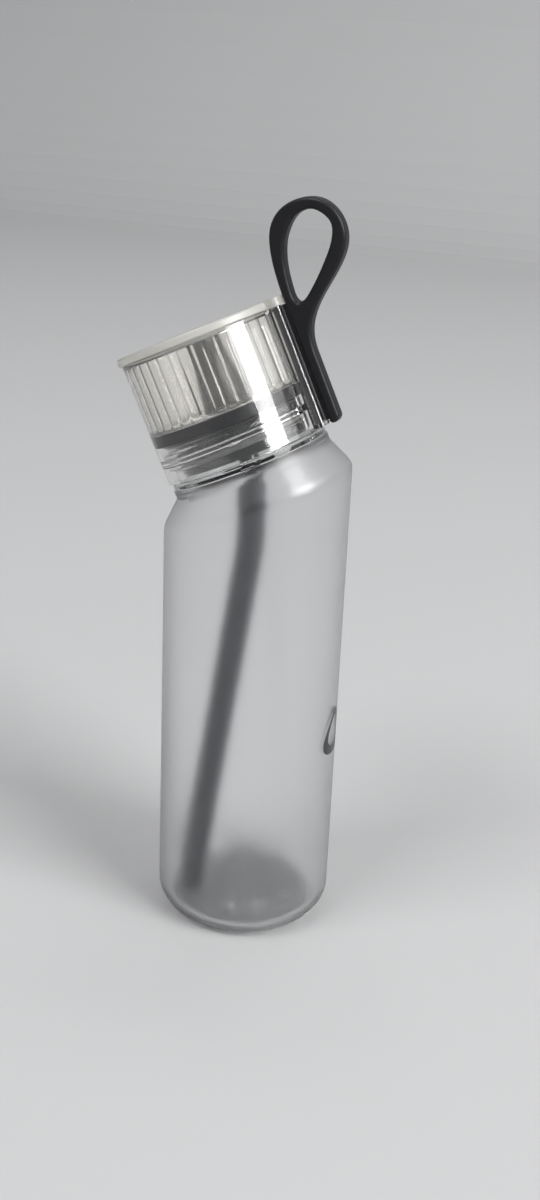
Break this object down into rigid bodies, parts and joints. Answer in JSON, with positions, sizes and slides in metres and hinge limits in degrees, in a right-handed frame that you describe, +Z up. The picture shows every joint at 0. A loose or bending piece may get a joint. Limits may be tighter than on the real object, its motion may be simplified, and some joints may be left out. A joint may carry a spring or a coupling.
{
  "type": "tilted-neck drinking bottle with straw",
  "caption": "Frosted upright drinking bottle with a slanted neck, clear fluted screw cap, black teardrop carry loop and an inner drinking straw.",
  "frame": {"origin": "centre of the base, in the plane the bottle stands on", "axes": "+Z up along the bottle body, the neck leans towards -X, the carry loop is on the +X side"},
  "size_m": [0.0838, 0.065, 0.2661],
  "materials": {
    "frosted_body": "frosted outside, clear at the collar and neck",
    "clear_plastic": "polished clear",
    "hazy_plastic": "hazy translucent",
    "dark_plastic": "smooth near-black",
    "dark_silicone": "satin",
    "grey_silicone": "satin translucent",
    "smoky_silicone": "smooth smoky translucent",
    "loop_silicone": "satin black"
  },
  "bodies": {
    "bottle": {"bottle": "frosted_body", "stopper": "dark_plastic", "flange_gasket": "dark_silicone", "plug_ring": "grey_silicone", "vent_valve": "grey_silicone", "mouthpiece": "dark_silicone", "straw_elbow": "dark_plastic", "straw": "smoky_silicone"},
    "cap_lifter": {"cap_seal": "dark_silicone"},
    "cap": {"cap_shell": "clear_plastic", "cap_disc": "hazy_plastic", "carry_loop": "loop_silicone"}
  },
  "joints": [
    {"name": "cap_lift", "type": "slide", "parent": "bottle", "child": "cap_lifter", "axis": [-0.4337, 0, 0.9011], "range_m": [0, 0.00705]},
    {"name": "cap_turn", "type": "hinge", "parent": "cap_lifter", "child": "cap", "pos_m": [0.0025, 0, 0.1636], "axis": [-0.4337, 0, 0.9011], "range_deg": [0, 630]}
  ],
  "couplings": [
    {"joint": "cap_lift", "follows": "cap_turn", "m_per_rad": 0.00063662}
  ]
}
